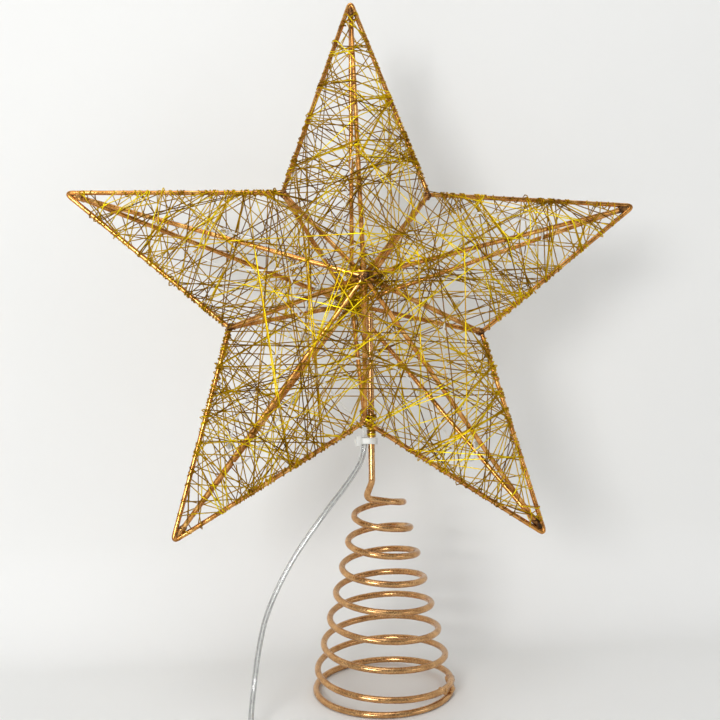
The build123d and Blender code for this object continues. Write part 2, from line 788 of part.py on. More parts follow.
# Cells: two round cells side by side, pointing opposite ways, lying on the floor of the box
cell_height = floor_wall + cell_diameter / 2
cell_step = (cell_diameter + cell_gap) / 2
plate_left = room_left + contact_plate
plate_right = room_right - contact_plate
for number, way in ((1, 1), (2, -1)):
    nub_end = plate_right if way > 0 else plate_left
    cell_y = box_middle_y + way * cell_step
    with BuildPart() as cell:
        with BuildSketch(Plane(origin=(nub_end - way * cell_nub, cell_y, cell_height), z_dir=(-way, 0, 0))):
            Circle(cell_diameter / 2)
        extrude(amount=cell_length)
        fillet(cell.edges(), cell_rounding)
        with BuildSketch(Plane(origin=(nub_end - way * cell_nub, cell_y, cell_height), z_dir=(way, 0, 0))):
            Circle(cell_nub_radius)
        extrude(amount=cell_nub)
    save(cell, f"cell_{number}")

# Contact plates: a strip at each end of the cells
plate_height = cell_diameter - plate_short
with BuildPart() as contact_plates:
    for plate_x in (room_left + contact_plate / 2, room_right - contact_plate / 2):
        with Locations((plate_x, box_middle_y, floor_wall + plate_height / 2)):
            Box(contact_plate, box_inner_width - 2 * cell_gap, plate_height)
save(contact_plates, "contact_plates")

# Cell springs: a cone of wire behind the flat end of each cell
cell_spring_wire = 0.5
cell_spring_turns = 3
cell_spring_base = 3.6
cell_spring_tip = 2.2
with BuildPart() as cell_springs:
    for way, plate_x in ((1, plate_left), (-1, plate_right)):
        spring_room = contact_spring_room - cell_spring_wire

        def cell_spring_place(turn):
            share = turn / cell_spring_turns
            radius = cell_spring_base + (cell_spring_tip - cell_spring_base) * share
            along = plate_x + way * (cell_spring_wire / 2 + spring_room * share)
            angle = 2 * pi * turn
            return Vector(
                along,
                box_middle_y + way * cell_step + radius * cos(angle),
                cell_height + radius * sin(angle),
            )

        with BuildLine() as cell_spring_path:
            add_turns(cell_spring_place, quarter_turns(0, cell_spring_turns))
        spring_way = (cell_spring_place(1e-4) - cell_spring_place(-1e-4)).normalized()
        with BuildSketch(Plane(origin=cell_spring_place(0), z_dir=spring_way)):
            Circle(cell_spring_wire / 2)
        sweep()
        report_gap("cell spring", cell_spring_path, cell_spring_place(0), cell_spring_wire, cell_spring_tip)
save(cell_springs, "cell_springs")
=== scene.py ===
import random
from math import cos, pi, radians, sin, sqrt, tan

import bmesh
import bpy
from mathutils import Matrix, Vector, noise


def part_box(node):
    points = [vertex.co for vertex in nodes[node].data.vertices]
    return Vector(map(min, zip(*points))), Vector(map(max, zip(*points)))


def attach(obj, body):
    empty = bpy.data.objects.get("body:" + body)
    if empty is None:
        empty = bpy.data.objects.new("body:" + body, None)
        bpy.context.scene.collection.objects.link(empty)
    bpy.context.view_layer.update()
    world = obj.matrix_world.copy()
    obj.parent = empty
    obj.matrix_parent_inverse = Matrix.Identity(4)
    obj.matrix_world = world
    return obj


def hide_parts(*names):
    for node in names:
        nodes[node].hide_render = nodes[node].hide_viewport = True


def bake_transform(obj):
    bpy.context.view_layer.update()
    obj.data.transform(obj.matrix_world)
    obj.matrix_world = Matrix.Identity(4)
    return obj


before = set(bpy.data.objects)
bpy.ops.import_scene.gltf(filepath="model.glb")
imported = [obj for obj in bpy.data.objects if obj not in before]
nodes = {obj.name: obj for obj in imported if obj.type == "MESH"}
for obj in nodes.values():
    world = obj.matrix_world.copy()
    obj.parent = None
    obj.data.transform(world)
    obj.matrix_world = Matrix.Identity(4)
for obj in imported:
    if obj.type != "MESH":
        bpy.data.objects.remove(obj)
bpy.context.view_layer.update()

# Outline wires: each arm's edge is one steel wire, bent round at the tip and brazed at both inner corners.
# It is coated in copper-coloured metallic paint, which gathers in small lumps and is dark where it is thick.
# The frame was bent by hand, so each tip and corner lies a little off its true place.
mm = 0.001
arm_count = 5
star_radius = 116.0
corner_radius = 50.5
frame_wire = 1.8
tip_bend = 1.2
lean, roll = radians(10.0), radians(1.3)
across_way = Vector((cos(roll), -sin(roll) * sin(lean), -sin(roll) * cos(lean)))
front_way = Vector((0, -cos(lean), sin(lean)))
up_way = front_way.cross(across_way)
star_centre = Vector((-7.6, -1.4, 159.1))
star_turn = Matrix((across_way, up_way, front_way)).transposed().to_4x4()
star_to_row = Matrix.Scale(mm, 4) @ Matrix.Translation(star_centre) @ star_turn


def around(angle, radius):
    """A place in the star's own plane."""
    return Vector((radius * cos(radians(angle)), radius * sin(radians(angle)), 0))


arm_step = 360 / arm_count
tip_shifts = [(-1.6, 1.0, 0), (0.5, -0.8, 0), (2.4, 0.5, 0), (-1.2, -0.2, 0), (-0.5, 1.6, 0)]
corner_shifts = [(-1.1, -1.9, 0), (0.4, -0.4, 0), (2.4, 0.0, 0), (-1.3, 1.3, 0), (0.8, -1.9, 0)]
tips = [around(90 - arm_step * arm, star_radius) + Vector(tip_shifts[arm]) for arm in range(arm_count)]
axes = [tip.normalized() for tip in tips]
corners = [around(90 - arm_step * (arm + 0.5), corner_radius) + Vector(corner_shifts[arm])
           for arm in range(arm_count)]


def straight(start, end, step):
    """Points about step apart from start to end."""
    count = max(2, round((end - start).length / step))
    return [start.lerp(end, number / count) for number in range(count + 1)]


def bend(before, here, after, radius, count=8):
    """Points of a round corner between two straight runs."""
    back, on = (before - here).normalized(), (after - here).normalized()
    reach = radius / tan(back.angle(on) / 2)
    start, end = here + back * reach, here + on * reach
    spots = []
    for number in range(count + 1):
        share = number / count
        spots.append(start.lerp(here, share).lerp(here.lerp(end, share), share))
    return spots


def wire_mesh(name, runs, radius, sides, tones=None):
    """Round wire along each run of points, closed at its ends. Tones are values of painted light and shade to
    colour the points by.
    """
    line = bpy.data.curves.new(name, "CURVE")
    line.dimensions = "3D"
    line.bevel_depth = radius
    line.bevel_resolution = sides // 2 - 2
    for run in runs:
        strand = line.splines.new("POLY")
        strand.points.add(len(run) - 1)
        strand.points.foreach_set("co", [value for spot in run for value in (*spot, 1)])
    holder = bpy.data.objects.new(name, line)
    mesh = bpy.data.meshes.new_from_object(holder)
    bpy.data.objects.remove(holder)
    bpy.data.curves.remove(line)
    if tones:
        tone = mesh.attributes.new("tone", "FLOAT", "POINT")
        tone.data.foreach_set("value", [value for run in tones for value in run for side in range(sides)])
    shaped = bmesh.new()
    shaped.from_mesh(mesh)
    bmesh.ops.holes_fill(shaped, edges=[edge for edge in shaped.edges if edge.is_boundary])
    shaped.to_mesh(mesh)
    shaped.free()
    mesh.shade_smooth()
    return mesh


def lumpy(mesh, size, height, seed):
    """Small soft lumps over a mesh, where the coating has gathered."""
    shift = Vector((seed * 17.3, seed * 5.1, seed * 9.7))
    shaped = bmesh.new()
    shaped.from_mesh(mesh)
    shaped.normal_update()
    moves = []
    for vert in shaped.verts:
        spot = vert.co / size + shift
        broad, fine = noise.noise(spot), noise.noise(spot * 2.1)
        swell = 0.45 * broad + 0.55 * max(0.0, fine - 0.25)
        moves.append(vert.normal * height * swell)
    for vert, move in zip(shaped.verts, moves):
        vert.co += move
    shaped.to_mesh(mesh)
    shaped.free()
    return mesh


def new_finish(name, metallic, roughness):
    """A new material, with its nodes and its shader."""
    finish = bpy.data.materials.new(name)
    finish.use_nodes = True
    tree = finish.node_tree
    shader = tree.nodes["Principled BSDF"]
    shader.inputs["Metallic"].default_value = metallic
    shader.inputs["Roughness"].default_value = roughness
    return finish, tree, shader


def add_noise(tree, scale, detail=3.0):
    """Noise on the piece's own coordinates, as a value from 0 to 1."""
    place = tree.nodes.new("ShaderNodeTexCoord")
    cloud = tree.nodes.new("ShaderNodeTexNoise")
    cloud.inputs["Scale"].default_value = scale
    cloud.inputs["Detail"].default_value = detail
    tree.links.new(place.outputs["Object"], cloud.inputs["Vector"])
    return cloud.outputs["Fac"]


def add_ramp(tree, source, stops):
    """Colours along a value: stops are pairs of position and colour."""
    ramp = tree.nodes.new("ShaderNodeValToRGB")
    while len(ramp.color_ramp.elements) < len(stops):
        ramp.color_ramp.elements.new(0.5)
    for element, (position, colour) in zip(ramp.color_ramp.elements, stops):
        element.position = position
        element.color = (*colour, 1)
    tree.links.new(source, ramp.inputs["Fac"])
    return ramp.outputs["Color"]


def add_bump(tree, shader, source, strength, distance):
    """A surface that rises and falls with a value."""
    bump = tree.nodes.new("ShaderNodeBump")
    bump.inputs["Strength"].default_value = strength
    bump.inputs["Distance"].default_value = distance
    tree.links.new(source, bump.inputs["Height"])
    tree.links.new(bump.outputs["Normal"], shader.inputs["Normal"])


def grey(value):
    """A grey as a colour."""
    return (value, value, value)


def copper_paint(name, dark, middle, light, roughness, grain):
    """Metallic paint with cloudy tone, specks of bright flake and a faintly uneven surface."""
    cloud_scale, flake_scale, grain_scale = 260.0, 1500.0, 900.0
    finish, tree, shader = new_finish(name, 0.88, roughness)
    cloud = add_noise(tree, cloud_scale, 5.0)
    cloud_tones = [(0.32, dark), (0.5, middle), (0.68, light)]
    tree.links.new(add_ramp(tree, cloud, cloud_tones), shader.inputs["Base Color"])
    flake = add_noise(tree, flake_scale, 2.0)
    flake_tones = [(0.35, grey(roughness - 0.1)), (0.7, grey(roughness + 0.14))]
    tree.links.new(add_ramp(tree, flake, flake_tones), shader.inputs["Roughness"])
    add_bump(tree, shader, add_noise(tree, grain_scale, 3.0), grain, 0.0003)
    return finish


def place(mesh, name, body, slot_name, finish, replaced=()):
    """A finished piece in the row, riding on a body and standing for the named nodes."""
    piece = bpy.data.objects.new(name, mesh)
    bpy.context.scene.collection.objects.link(piece)
    mesh.materials.append(finish)
    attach(piece, body)
    if replaced:
        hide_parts(*replaced)
    return piece


frame_paint = copper_paint("frame_paint", (0.30, 0.125, 0.026), (0.62, 0.28, 0.065), (0.84, 0.48, 0.15),
                           roughness=0.22, grain=0.15)
frame_sides, frame_step, nose_steps = 14, 1.2, 12
lump_size, lump_height = 3.4, 0.16
for arm in range(arm_count):
    half_angle = axes[arm].angle(tips[arm] - corners[arm])
    nose = tips[arm] + axes[arm] * (tip_bend / sin(half_angle) - tip_bend - frame_wire / 2)
    nose_points = bend(corners[arm], nose, corners[arm - 1], tip_bend, nose_steps)
    run = straight(corners[arm], nose_points[0], frame_step) + nose_points[1:-1]
    run += straight(nose_points[-1], corners[arm - 1], frame_step)
    edge = lumpy(wire_mesh("edge", [run], frame_wire / 2, frame_sides), lump_size, lump_height, arm)
    edge.transform(star_to_row)
    place(edge, f"arm_outline_{arm + 1}", "star", "frame_paint", frame_paint,
          [f"outline_wire_{arm * 2 + 1}", f"outline_wire_{arm * 2 + 2}"])

# Ridge and valley wires: straight wires from the front and back hubs to every tip and every inner corner.
# They give the star its depth, and carry the same copper paint as the outline.
half_depth = 30.0
tip_reach = 3.4
ridge_seed, valley_seed = 11, 13
front = Vector((0, 0, 1))
front_hub = front * half_depth
back_hub = -front_hub
for side, hub in (("front", front_hub), ("back", back_hub)):
    ridges = [straight(hub, tip - axis * tip_reach, frame_step) for tip, axis in zip(tips, axes)]
    valleys = [straight(hub, corner, frame_step) for corner in corners]
    for kind, plural, runs, seed in (
            ("ridge", "ridges", ridges, ridge_seed), ("valley", "valleys", valleys, valley_seed)):
        mesh = wire_mesh(plural, runs, frame_wire / 2, frame_sides)
        mesh = lumpy(mesh, lump_size, lump_height, seed + hub.z)
        mesh.transform(star_to_row)
        place(mesh, f"{side}_{plural}", "star", "frame_paint", frame_paint,
              [f"{side}_{kind}_wire_{number + 1}" for number in range(arm_count)])

# Welds: beads of filler where the frame wires meet at tips, corners and hubs, half run along the wires.
# They are uneven, burnt dark by the heat, and thinly painted over with the frame.
weld_paint = copper_paint("weld_paint", (0.045, 0.024, 0.011), (0.20, 0.088, 0.026), (0.62, 0.33, 0.095),
                          roughness=0.25, grain=0.25)
bead_swell = 0.32


def add_bead(shaped, middle, way, length, width, seed):
    """A lumpy bead, long along way."""
    turn = Vector((0, 0, 1)).rotation_difference(way).to_matrix().to_4x4()
    stretch = Matrix.Diagonal((width, width, length, 1))
    made = bmesh.ops.create_icosphere(shaped, subdivisions=4, radius=1.0,
                                      matrix=Matrix.Translation(middle) @ turn @ stretch)
    for vert in made["verts"]:
        out = (vert.co - middle).normalized()
        vert.co += out * width * bead_swell * noise.noise(out * 1.7 + Vector((seed, seed * 0.37, 2.0)))


def finished_mesh(shaped, name):
    """A shape as a smooth mesh."""
    mesh = bpy.data.meshes.new(name)
    shaped.to_mesh(mesh)
    shaped.free()
    mesh.shade_smooth()
    return mesh


def bead_mesh(name, beads):
    """Beads, each given by its middle, the way it runs, its length and its width."""
    shaped = bmesh.new()
    for number, (middle, way, length, width) in enumerate(beads):
        add_bead(shaped, middle, way, length, width, number * 3.1 + len(beads))
    return finished_mesh(shaped, name)


# Each bead at a tip: how far back from the tip and forward of the star's plane, its length and its width
tip_bead_sizes = [(3.6, 0.0, 2.6, 1.25), (5.2, 0.5, 1.9, 1.2), (5.4, -0.5, 1.9, 1.2)]
tip_beads = []
for tip, axis in zip(tips, axes):
    for behind, forward, length, width in tip_bead_sizes:
        tip_beads.append((tip - axis * behind + front * forward, axis, length, width))
corner_beads = []
for corner in corners:
    out = corner.normalized()
    corner_beads.append((corner - out * 0.4, front, 1.75, 1.45))
    corner_beads.append((corner - out * 1.6 + front * 0.8, out.cross(front), 1.5, 1.0))
hub_beads = []
for hub in (front_hub, back_hub):
    out = hub.normalized()
    hub_beads.append((hub - out * 0.5, out, 1.9, 2.2))
    for axis in axes:
        hub_beads.append((hub + axis * 2.4 - out * 0.9, axis, 2.0, 1.0))
for name, beads in (("tip_beads", tip_beads), ("corner_beads", corner_beads), ("hub_beads", hub_beads)):
    mesh = bead_mesh(name, beads)
    mesh.transform(star_to_row)
    place(mesh, name, "star", "frame_paint", weld_paint, [name.replace("beads", "welds")])

# Arm windings: thin bright wire wound by hand round each arm's frame, from edge to edge over front and back.
# It hooks round the outline at each side, now and then with one more turn, and a few hooks stand loose.
draw = random.Random(7436)
gold_wire, gold_gap, gold_sides = 0.45, 0.06, 6
wrap_radius = frame_wire / 2 + gold_wire / 2 + gold_gap
arm_hops, arm_passes = 62, 5
# Glint noise paints highlights that come and go along each strand.
glint_scale, glint_depth = 85.0, 1.6

# The gold colour is painted light and shade. Its ramp runs from painted shade in dark brown to a painted
# highlight in bright yellow, set by each point's tone plus the glint.
gold, tree, shader = new_finish("gold_wire", 0.92, 0.34)
sheen_attribute = tree.nodes.new("ShaderNodeAttribute")
sheen_attribute.attribute_name = "tone"
glint = tree.nodes.new("ShaderNodeMath")
glint.operation = "MULTIPLY_ADD"
glint.inputs[1].default_value = glint_depth
glint.inputs[2].default_value = -glint_depth / 2
tree.links.new(add_noise(tree, glint_scale, 2.0), glint.inputs[0])
shown_sheen = tree.nodes.new("ShaderNodeMath")
tree.links.new(sheen_attribute.outputs["Fac"], shown_sheen.inputs[0])
tree.links.new(glint.outputs["Value"], shown_sheen.inputs[1])
gold_sheen_ramp = add_ramp(tree, shown_sheen.outputs["Value"], [
    (0.0, (0.15, 0.068, 0.003)),
    (0.35, (0.36, 0.195, 0.004)),
    (0.65, (0.66, 0.43, 0.007)),
    (1.0, (1.0, 0.82, 0.018)),
])
tree.links.new(gold_sheen_ramp, shader.inputs["Base Color"])
shader.inputs["Specular Tint"].default_value = (1.0, 0.72, 0.22, 1)
add_bump(tree, shader, add_noise(tree, 2600.0, 2.0), 0.2, 0.0001)
# The mean painted light of each kind of strand, from painted shade to painted highlight, and its spread, and
# the share of strands up to that kind
shaded_tone, half_lit_tone, highlit_tone = (0.1, 0.07), (0.5, 0.1), (0.92, 0.1)
shaded_share, half_lit_share = 0.24, 0.64
sheen_spread = 0.13


def new_sheen_tone():
    """How lit a strand is painted: dark in painted shade, half-lit gold, or bright yellow with a painted
    highlight.
    """
    kind = draw.random()
    if kind < shaded_share:
        return draw.gauss(*shaded_tone)
    if kind < half_lit_share:
        return draw.gauss(*half_lit_tone)
    return draw.gauss(*highlit_tone)


def hook_sheen_tone(tone):
    """The painted light and shade of a strand where it is hooked round the outline, nearer to half-lit gold.
    """
    return 0.3 + 0.3 * tone


class Strand:
    """One unbroken thin wire: its points and the painted light and shade at each."""

    def __init__(self):
        self.points = []
        self.tones = []

    def add(self, spots, tone):
        self.points += spots
        # Each point's painted highlight or shade strays a little from the strand's.
        self.tones += [min(1.0, max(0.0, tone + draw.gauss(0, sheen_spread))) for spot in spots]


def net_mesh(name, strands):
    """Strands of thin wire, in the row."""
    mesh = wire_mesh(name, [strand.points for strand in strands], gold_wire / 2, gold_sides,
                     [strand.tones for strand in strands])
    mesh.transform(star_to_row)
    return mesh


def wrap(centre, way, across, first, sweep, pitch, radius):
    """Turns of thin wire round a frame wire that runs along way, from angle first over sweep degrees."""
    side = (across - way * across.dot(way)).normalized()
    face = (front - way * front.dot(way)).normalized()
    count = max(2, round(abs(sweep) / 45))
    spots = []
    for number in range(count + 1):
        share = number / count
        angle = radians(first + sweep * share)
        shift = pitch * (share - 0.5) * abs(sweep) / 360
        spots.append(centre + way * shift + (side * cos(angle) + face * sin(angle)) * radius)
    return spots


class Edge:
    """A place on the outline of an arm, some millimetres out from the inner corner on one side of it."""

    def __init__(self, arm, side, along):
        corner = corners[arm - 1] if side == 0 else corners[arm]
        self.arm, self.side = arm, side
        self.way = (tips[arm] - corner).normalized()
        self.place = corner + self.way * min(max(along, 2.6), (tips[arm] - corner).length - 5.5)
        self.out = front.cross(axes[arm]) * (1 if side == 0 else -1)


second_turn_share, loose_share = 0.12, 0.05
loose_turn, close_turn = (1.3, 2.0), (1.0, 1.15)
hook_pitch = (1.0, 3.6)


def hook(edge, came, leaves):
    """Turns round an outline wire, from the face the strand came over to the face it leaves by."""
    sweep = -came * ((180 if came != leaves else 360) + (360 if draw.random() < second_turn_share else 0))
    loose = draw.uniform(*(loose_turn if draw.random() < loose_share else close_turn))
    pitch = draw.choice((-1, 1)) * draw.uniform(*hook_pitch)
    return wrap(edge.place, edge.way, edge.out, 90 * came, sweep, pitch, wrap_radius * loose)


bend_reach, bend_fall = 0.7, 0.18
end_margin, tip_share = 0.015, 0.98


def stretch(start, end, face):
    """The bends of a taut strand from one place to another, over the ridges and valleys of one face."""
    line = end - start
    met = [(0.0, 0.0)]
    for wire in tips + corners:
        slant = line.cross(wire).z
        if abs(slant) < 1e-6:
            continue
        share = -start.cross(wire).z / slant
        out = (start + line * share).dot(wire) / wire.length_squared
        if end_margin < share < 1 - end_margin and 0.0 < out < tip_share:
            met.append((share, half_depth * (1 - out) + wrap_radius))
    taut = []
    for spot in sorted(met) + [(1.0, 0.0)]:
        while len(taut) > 1 and ((taut[-1][0] - taut[-2][0]) * (spot[1] - taut[-2][1])
                                 >= (taut[-1][1] - taut[-2][1]) * (spot[0] - taut[-2][0])):
            taut.pop()
        taut.append(spot)
    bends = []
    way = line.normalized() * bend_reach
    for share, height in taut[1:-1]:
        spot = start + line * share
        bends += [spot + way * step + front * face * (height - bend_fall * abs(step)) for step in (-1, 0, 1)]
    return bends


other_face_share, leap_share = 0.85, 0.22
first_part, wound_part, stray = 0.04, 0.88, 8.0


def wound_arm(arm):
    """The winding of one arm, which works along it and back several times."""
    strand = Strand()
    edge, came = Edge(arm, 0, 10.0), -1
    long = (tips[arm] - corners[arm]).length
    for hop in range(arm_hops):
        leaves = -came if draw.random() < other_face_share else came
        turn = hop / arm_hops * arm_passes % 2
        along = long * (first_part + wound_part * (turn if turn < 1 else 2 - turn)) + draw.gauss(0, stray)
        if draw.random() < leap_share:
            along = draw.uniform(2.0, long * 0.8)
        # Each hop is painted its own light and shade, dimmer where it is hooked.
        tone = new_sheen_tone()
        strand.add(hook(edge, came, leaves), hook_sheen_tone(tone))
        goal = Edge(arm, 1 - edge.side, along)
        strand.add(stretch(edge.place, goal.place, leaves), tone)
        edge, came = goal, leaves
    return strand


for arm in range(arm_count):
    place(net_mesh(f"arm_net_{arm + 1}", [wound_arm(arm)]), f"arm_net_{arm + 1}", "star", "gold_wire", gold,
          [f"arm_winding_{arm + 1}"])

# Crossing strands: the same thin wire carried from arm to arm over both faces, and straight across the waist.
# They tie the five windings into one net, and are densest round the hubs, where short ends are tucked in.
crossing_hops = 140
hops_per_strand = 14
shortest_hop = 34.0
edge_margin = 16.0
# Crossing strands keep this share of their painted light, so their painted highlights are dimmer.
same_face_share, crossing_sheen_dim = 0.2, 0.75
knot_bends = 130
waist_heights = (-18.5, -21.5, -30.0, -38.5)
edge_slope = ((star_radius - corner_radius * cos(radians(arm_step / 2)))
              / (corner_radius * sin(radians(arm_step / 2))))


def inside(spot):
    """Whether a place is well within the star's outline."""
    axis = max(axes, key=spot.dot)
    return spot.dot(axis) + edge_slope * abs(spot.cross(axis).z) < star_radius - edge_margin


def far_edge(edge):
    """Another place on the outline that a straight strand can reach."""
    while True:
        goal = Edge(draw.randrange(arm_count), draw.randrange(2), draw.uniform(2.0, 58.0))
        line = goal.place - edge.place
        if goal.arm != edge.arm and line.length > shortest_hop:
            if all(inside(edge.place + line * share) for share in (0.2, 0.35, 0.5, 0.65, 0.8)):
                return goal


def hop_strand(edges, faces, tones):
    """A strand hooked round each of some places on the outline in turn."""
    strand = Strand()
    came = -faces[0]
    for edge, goal, face, tone in zip(edges, edges[1:], faces, tones):
        strand.add(hook(edge, came, face), hook_sheen_tone(tone))
        strand.add(stretch(edge.place, goal.place, face), tone)
        came = face
    strand.add(hook(edges[-1], came, came), hook_sheen_tone(tones[-1]))
    return strand


crossings = []
for number in range(crossing_hops // hops_per_strand):
    edges = [Edge(draw.randrange(arm_count), draw.randrange(2), draw.uniform(2.0, 40.0))]
    while len(edges) <= hops_per_strand:
        edges.append(far_edge(edges[-1]))
    faces = [1 if (step + (draw.random() < same_face_share)) % 2 else -1 for step in range(len(edges))]
    crossings.append(hop_strand(edges, faces, [crossing_sheen_dim * new_sheen_tone() for edge in edges]))
# Each waist strand is painted dark with shade over the front and half lit over the back.
for up in waist_heights:
    drop = (corners[3].y - up) / (corners[3].y - tips[3].y)
    reach = (tips[3] - corners[3]).length
    left = Edge(3, 1, drop * reach + draw.uniform(-1, 1))
    right = Edge(2, 0, drop * reach + draw.uniform(-1, 1))
    crossings.append(hop_strand([left, right, left], [1, -1], [0.08, 0.4]))
# A strand painted dark with shade to the right of the hub, and one to its left
crossings.append(hop_strand([Edge(1, 0, 5.0), Edge(2, 1, 8.0), Edge(1, 0, 9.0)], [1, 1], [0.05, 0.12]))
crossings.append(hop_strand([Edge(4, 1, 3.0), Edge(3, 0, 24.0), Edge(4, 1, 5.0)], [1, 1], [0.05, 0.1]))
# The tucked ends round each hub are painted between shade and half light, never with a highlight.
for face in (1, -1):
    ring = Strand()
    for step in range(knot_bends):
        wire = draw.choice(tips + corners)
        out = (draw.uniform(1.5, 9.0) if step % 3 else draw.uniform(6.0, 15.0)) / wire.length
        rise = front * face * (half_depth * (1 - out) + draw.choice((-1, 1)) * wrap_radius)
        aside = wire.cross(front).normalized() * draw.uniform(-1.2, 1.2)
        ring.add([wire * out + rise + aside], draw.uniform(0.1, 0.7))
    crossings.append(ring)
place(net_mesh("crossing_net", crossings), "crossing_net", "star", "gold_wire", gold, ["waist_winding"])

# Stem lashing: the end of the thin wire, bound tight round the stem so that the star can't turn on it.
# It is a dense, untidy band from just above the cable tie up over the bottom corner, where it is wider.
stem_across, stem_forward = 4.95, -2.3
spring_wire = 2.5
lashing = Strand()
lash_turns, bends_per_turn = 18, 10
lash_bottom, lash_rise = -56.2, 9.6
lash_gap, lash_loose, lash_stray = 0.32, 0.14, 0.12
corner_share, corner_ease = 0.4, 0.12
corner_across, corner_forward = -1.25, 1.15
wider_across, wider_forward, wider_slant = 1.5, 1.2, 1.6
for step in range(lash_turns * bends_per_turn):
    turn = step / bends_per_turn
    share = turn / lash_turns
    angle = 2 * pi * turn
    wide = min(max((share - corner_share) / corner_ease, 0.0), 1.0)
    reach = spring_wire / 2 + lash_gap + draw.uniform(0.0, lash_loose)
    rise = lash_bottom + lash_rise * share + draw.uniform(-lash_stray, lash_stray)
    middle = Vector((stem_across + corner_across * wide, rise, stem_forward + corner_forward * wide))
    spot = Vector((cos(angle) * (reach + wider_across * wide),
                   wider_slant * wide * sin(angle + 1.1 * turn),
                   sin(angle) * (reach + wider_forward * wide)))
    # Each turn of the lashing is painted its own light and shade.
    if step % bends_per_turn == 0:
        tone = new_sheen_tone()
    lashing.add([middle + spot], tone)
place(net_mesh("stem_binding", [lashing]), "stem_binding", "star", "gold_wire", gold, ["stem_lashing"])

# Cone spring: one thick steel wire, straight as the star's stem, bent at the neck and wound into a cone.
# It has eight turns, wider towards the bottom, the last flat on the table.
# Its bronze paint is satin, with small runs and specks.
row_scale = Matrix.Scale(mm, 4)
spring_top, spring_base = 9.2, 27.0
spring_top_height = 75.5
cone_turns, coil_turns = 6.8, 8.0
pitch_end, flat_start = 7.15, 7.45
rest_height = spring_wire / 2 - 0.5
coil_start = -0.22
coil_drop = (spring_top_height - rest_height) / ((pitch_end + flat_start) / 2)


def spring_place(turn):
    """The middle of the spring wire after some turns, counted from its right side."""
    radius = spring_top + (spring_base - spring_top) / cone_turns * min(turn, cone_turns)
    height = spring_top_height - coil_drop * turn
    if turn > flat_start:
        height = rest_height
    elif turn > pitch_end:
        height = rest_height + coil_drop * (flat_start - turn) ** 2 / (2 * (flat_start - pitch_end))
    return Vector((radius * cos(2 * pi * turn), radius * sin(2 * pi * turn), height))


def star_spot(across, up, forward):
    """A place on the star, in the row's millimetres."""
    return star_to_row @ Vector((across, up, forward)) / mm


stem_top, stem_bend_drop = -8.0, 23.0
neck_reach, stem_bend_radius, neck_radius = 8.6, 3.4, 2.6
stem_step, steps_per_coil, spring_sides = 1.0, 84, 20
run_size, run_height, run_seed = 2.6, 0.14, 4
stem_end = star_spot(stem_across, stem_top, stem_forward)
stem_bend = star_spot(stem_across, corners[2].y - stem_bend_drop, stem_forward)
coil_spot = spring_place(coil_start)
coil_way = (spring_place(coil_start + 1e-3) - coil_spot).normalized()
neck_turn = coil_spot - coil_way * neck_reach
neck = bend(stem_end, stem_bend, neck_turn, stem_bend_radius)
neck += bend(stem_bend, neck_turn, coil_spot, neck_radius)
spring_run = straight(stem_end, neck[0], stem_step)[:-1] + neck
step_count = round((coil_turns - coil_start) * steps_per_coil)
for step in range(step_count + 1):
    spring_run.append(spring_place(coil_start + (coil_turns - coil_start) * step / step_count))
spring_mesh = wire_mesh("spring", [spring_run], spring_wire / 2, spring_sides)
spring_mesh = lumpy(spring_mesh, run_size, run_height, run_seed)
for vert in spring_mesh.vertices:
    vert.co.z = max(vert.co.z, 0.0)
spring_mesh.transform(row_scale)
spring_paint = copper_paint("spring_paint", (0.47, 0.24, 0.092), (0.57, 0.315, 0.128), (0.67, 0.39, 0.172),
                            roughness=0.24, grain=0.1)
spring = bpy.data.objects.new("spring", spring_mesh)
bpy.context.scene.collection.objects.link(spring)
spring_mesh.materials.append(spring_paint)
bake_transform(spring)
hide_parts("cone_spring")

# Base weld: beads of filler that close the bottom turn of the spring on the turn above its end.
# They run unevenly along both wires, and are painted over with the spring.
wire_end, wire_above = spring_place(coil_turns), spring_place(coil_turns - 1)
weld_way = (wire_end - spring_place(coil_turns - 0.02)).normalized()
weld = bead_mesh("closing_beads", [
    ((wire_end + wire_above) * 0.5, weld_way, 3.2, 1.9),
    ((spring_place(7.95) + spring_place(6.95)) * 0.5, weld_way, 4.6, 1.7),
    (spring_place(6.9) + Vector((0, 0, -0.3)), weld_way, 1.9, 1.5),
    (spring_place(6.885) + Vector((0, 0, 0.4)), weld_way, 1.0, 1.2),
])
weld.transform(row_scale)
place(weld, "closing_beads", "base", "spring_paint", spring_paint, ["base_weld"])

# Cable tie: a strap of milky nylon pulled tight round stem and lead, moulded in one with its locking head.
# The head is on the left, with the short end of the cut tail beyond it.
tie_bore, tie_wall, tie_tall = 1.35, 0.95, 2.5
tie_span, tie_segments = 2.57, 40
tie_turn = radians(-13.5)
tie_place = (3.7, -59.2, -2.6)
head_place, head_size = (-3.65, 0.3, tie_tall / 2), (2.0, 3.4, 4.2)
tail_place, tail_size = (-4.9, 0.3, tie_tall / 2), (1.0, 1.1, 2.2)
tie_rounding, sharp_angle = 0.28, 0.6


def raise_edges(shaped, edges, lift):
    """Walls drawn out from some edges."""
    raised = bmesh.ops.extrude_edge_only(shaped, edges=edges)
    moved = [item for item in raised["geom"] if isinstance(item, bmesh.types.BMVert)]
    bmesh.ops.translate(shaped, vec=lift, verts=moved)


def cloudy_finish(name, metallic, roughness, scale, dark, light, spread=0.2, detail=3.0):
    """A material whose colour drifts between two tones in soft clouds."""
    finish, tree, shader = new_finish(name, metallic, roughness)
    tones = add_ramp(tree, add_noise(tree, scale, detail), [(0.5 - spread, dark), (0.5 + spread, light)])
    tree.links.new(tones, shader.inputs["Base Color"])
    return finish, tree, shader


